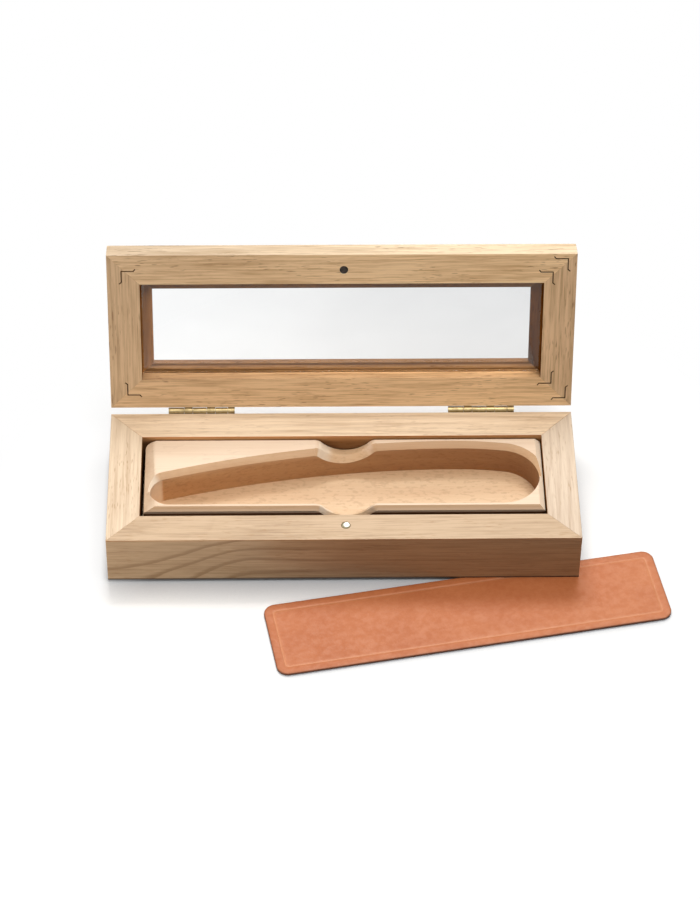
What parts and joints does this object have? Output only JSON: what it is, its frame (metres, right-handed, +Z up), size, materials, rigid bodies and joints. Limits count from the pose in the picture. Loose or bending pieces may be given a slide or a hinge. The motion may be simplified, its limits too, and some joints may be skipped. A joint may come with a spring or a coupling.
{
  "type": "straight razor box",
  "caption": "Hinged oak presentation box with a glazed lid, a loose beech insert cut for a straight razor, and a leather strip lying beside it.",
  "frame": {"origin": "centre of the whole part's footprint on the table, box and strip together, with the lid open", "axes": "+X along the box's length to the right, +Y towards the hinges, +Z up"},
  "size_m": [0.2474, 0.1648, 0.1022],
  "materials": {
    "oak": "satin oil",
    "oak_panel": "bare",
    "beech": "bare",
    "felt": "felt",
    "glass": "clear",
    "dark_steel": "dark",
    "brass": "polished",
    "brass_screw": "polished",
    "steel": "drawn",
    "magnet": "plated",
    "leather": "vegetable tanned"
  },
  "bodies": {
    "base": {"base_rail_front": "oak", "base_rail_back": "oak", "base_rail_left": "oak", "base_rail_right": "oak", "bottom_panel": "oak_panel", "felt_feet": "felt", "hinge_left_base_leaf": "brass", "hinge_left_pin": "steel", "hinge_right_base_leaf": "brass", "hinge_right_pin": "steel", "base_hinge_screws": "brass_screw", "catch_magnet": "magnet"},
    "lid": {"lid_rail_front": "oak", "lid_rail_back": "oak", "lid_rail_left": "oak", "lid_rail_right": "oak", "lid_glass": "glass", "lid_corner_nails": "dark_steel", "hinge_left_lid_leaf": "brass", "hinge_right_lid_leaf": "brass", "lid_hinge_screws": "brass_screw", "catch_keeper": "dark_steel"},
    "block": {"razor_block": "beech"},
    "strip": {"leather_strip": "leather"}
  },
  "joints": [
    {"name": "lid_hinge", "type": "hinge", "parent": "base", "child": "lid", "pos_m": [0, 0.04961, 0.02757], "axis": [1, 0, 0], "range_deg": [0, 107.2]},
    {"name": "block_lift", "type": "slide", "parent": "base", "child": "block", "axis": [0, 0, 1], "range_m": [0, 0.0065]},
    {"name": "strip_slide", "type": "slide", "parent": "base", "child": "strip", "axis": [0, -1, 0], "range_m": [0, 0.06]}
  ]
}
